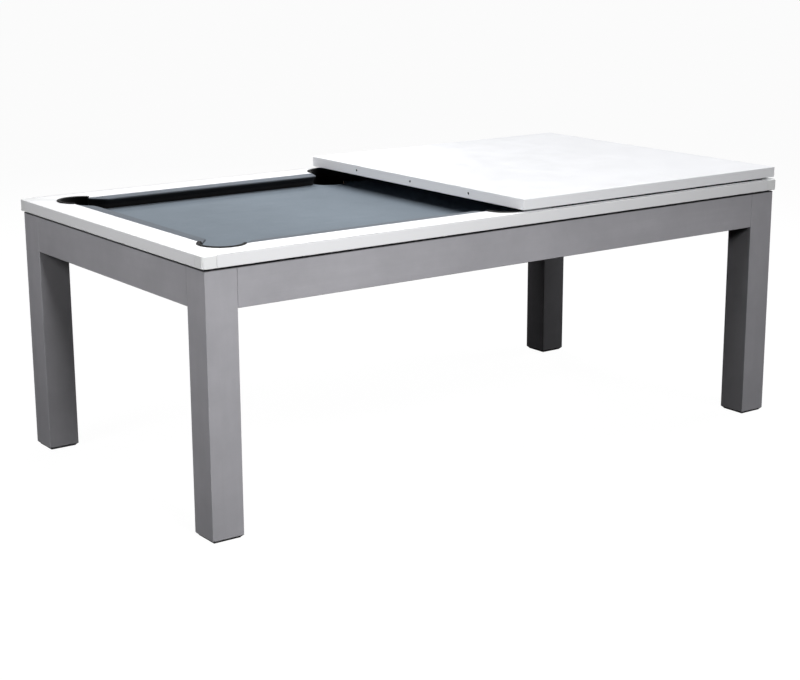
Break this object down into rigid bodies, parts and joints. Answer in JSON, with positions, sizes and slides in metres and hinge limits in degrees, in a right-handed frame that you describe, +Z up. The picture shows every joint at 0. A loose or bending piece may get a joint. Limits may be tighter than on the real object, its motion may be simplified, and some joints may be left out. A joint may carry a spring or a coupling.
{
  "type": "dining pool table",
  "caption": "Pool table on square post legs with a cloth bed, framed rails, drop pockets and half of a lift-off dining top.",
  "frame": {"origin": "on the floor, in the middle of the table's footprint", "axes": "+X along the table's length towards the end that the dining top half covers, +Y across its width, +Z up"},
  "size_m": [2.1, 1.11, 0.8085],
  "materials": {
    "grey_paint": "satin mid-grey paint",
    "white_lacquer": "satin white lacquer",
    "cloth": "napped slate-blue wool cloth",
    "pocket_rubber": "matt black moulded",
    "bed_board": "raw fibreboard",
    "beam_wood": "planed softwood",
    "black_strip": "matt black paint",
    "bracket_steel": "zinc plated",
    "black_felt": "pressed black felt"
  },
  "bodies": {
    "table": {"apron_back": "grey_paint", "apron_front": "grey_paint", "apron_left": "grey_paint", "apron_right": "grey_paint", "bed_cloth": "cloth", "bed_panel": "bed_board", "bracket_long_back_left": "bracket_steel", "bracket_long_back_right": "bracket_steel", "bracket_long_front_left": "bracket_steel", "bracket_long_front_right": "bracket_steel", "bracket_short_back_left": "bracket_steel", "bracket_short_back_right": "bracket_steel", "bracket_short_front_left": "bracket_steel", "bracket_short_front_right": "bracket_steel", "corner_block_back_left": "white_lacquer", "corner_block_back_right": "white_lacquer", "corner_block_front_left": "white_lacquer", "corner_block_front_right": "white_lacquer", "cross_beam_1": "beam_wood", "cross_beam_2": "beam_wood", "cross_beam_3": "beam_wood", "cross_beam_4": "beam_wood", "cushion_back_left": "cloth", "cushion_back_right": "cloth", "cushion_front_left": "cloth", "cushion_front_right": "cloth", "cushion_left": "cloth", "cushion_right": "cloth", "foot_pad_back_left": "black_felt", "foot_pad_back_right": "black_felt", "foot_pad_front_left": "black_felt", "foot_pad_front_right": "black_felt", "leg_back_left": "grey_paint", "leg_back_right": "grey_paint", "leg_front_left": "grey_paint", "leg_front_right": "grey_paint", "pocket_cup_back_left": "pocket_rubber", "pocket_cup_back_middle": "pocket_rubber", "pocket_cup_back_right": "pocket_rubber", "pocket_cup_front_left": "pocket_rubber", "pocket_cup_front_middle": "pocket_rubber", "pocket_cup_front_right": "pocket_rubber", "pocket_liner_back_left": "pocket_rubber", "pocket_liner_back_middle": "pocket_rubber", "pocket_liner_back_right": "pocket_rubber", "pocket_liner_front_left": "pocket_rubber", "pocket_liner_front_middle": "pocket_rubber", "pocket_liner_front_right": "pocket_rubber", "rail_back": "white_lacquer", "rail_front": "white_lacquer", "rail_left": "white_lacquer", "rail_right": "white_lacquer", "shadow_strip_back": "black_strip", "shadow_strip_front": "black_strip", "shadow_strip_left": "black_strip", "shadow_strip_right": "black_strip"},
    "dining_top": {"dining_top_right": "white_lacquer", "top_felt_back": "black_felt", "top_felt_end": "black_felt", "top_felt_front": "black_felt"}
  },
  "joints": [
    {"name": "dining_top_lift", "type": "slide", "parent": "table", "child": "dining_top", "axis": [0, 0, 1], "range_m": [0, 0.3]}
  ]
}
